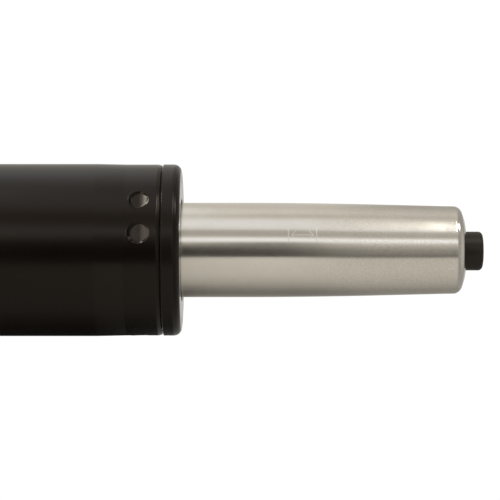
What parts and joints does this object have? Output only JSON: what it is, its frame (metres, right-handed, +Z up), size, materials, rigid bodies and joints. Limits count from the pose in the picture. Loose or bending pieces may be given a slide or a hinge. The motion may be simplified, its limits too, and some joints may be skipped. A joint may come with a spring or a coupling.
{
  "type": "chair gas lift",
  "caption": "Height-adjustable chair gas lift: a painted column with a plastic guide sleeve, and a steel gas spring with a tapered seat end and a push-button release.",
  "frame": {"origin": "centre of the column's bottom rim", "axes": "+Z up along the axis, from the column's foot to the release button; -Y is the side that shows the first pair of staked dimples"},
  "size_m": [0.051, 0.051, 0.2948],
  "materials": {
    "column_paint": "black satin enamel over steel tube",
    "sleeve_plastic": "black moulded plastic",
    "plated_steel": "zinc-plated steel",
    "hard_steel": "hardened and ground steel",
    "brass": "brass",
    "spring_steel": "oil-black spring steel",
    "rubber": "black nitrile rubber",
    "turned_aluminium": "turned aluminium",
    "pale_plastic": "natural acetal plastic",
    "ground_steel": "ground and polished steel",
    "button_plastic": "black moulded plastic"
  },
  "bodies": {
    "column": {"column_tube": "column_paint", "guide_sleeve": "sleeve_plastic", "bottom_cup": "plated_steel", "lower_race": "hard_steel"},
    "ball_set": {"ball_cage": "brass", "bearing_ball_1": "hard_steel", "bearing_ball_2": "hard_steel", "bearing_ball_3": "hard_steel", "bearing_ball_4": "hard_steel", "bearing_ball_5": "hard_steel", "bearing_ball_6": "hard_steel", "bearing_ball_7": "hard_steel", "bearing_ball_8": "hard_steel"},
    "rod": {"piston_rod": "hard_steel", "retaining_clip": "spring_steel", "clip_washer": "plated_steel", "upper_race": "hard_steel", "bumper_washer": "plated_steel", "bumper": "rubber", "piston": "turned_aluminium", "piston_seal": "rubber", "piston_ring": "pale_plastic", "piston_nut": "plated_steel"},
    "spring": {"gas_cylinder": "ground_steel", "seal_washer": "plated_steel", "rod_seal": "rubber", "rod_guide": "pale_plastic", "pressure_tube": "plated_steel", "valve_body": "turned_aluminium", "valve_body_seal": "rubber", "pressure_tube_seal": "rubber", "stem_seal_lower": "rubber", "stem_spacer": "pale_plastic", "stem_seal_upper": "rubber", "stem_bush": "brass", "valve_ring": "plated_steel"},
    "button": {"release_button": "button_plastic", "valve_pin": "hard_steel"}
  },
  "joints": [
    {"name": "swivel", "type": "hinge", "parent": "column", "child": "rod", "pos_m": [0, 0, 0.0212], "axis": [0, 0, 1], "continuous": true},
    {"name": "bearing_roll", "type": "hinge", "parent": "column", "child": "ball_set", "pos_m": [0, 0, 0.0167], "axis": [0, 0, 1], "continuous": true},
    {"name": "lift", "type": "slide", "parent": "rod", "child": "spring", "axis": [0, 0, 1], "range_m": [-0.025, 0.075]},
    {"name": "release", "type": "slide", "parent": "spring", "child": "button", "axis": [0, 0, -1], "range_m": [0, 0.0035], "stiffness_N_per_m": 8000}
  ],
  "couplings": [
    {"joint": "bearing_roll", "follows": "swivel", "ratio": 0.5}
  ]
}
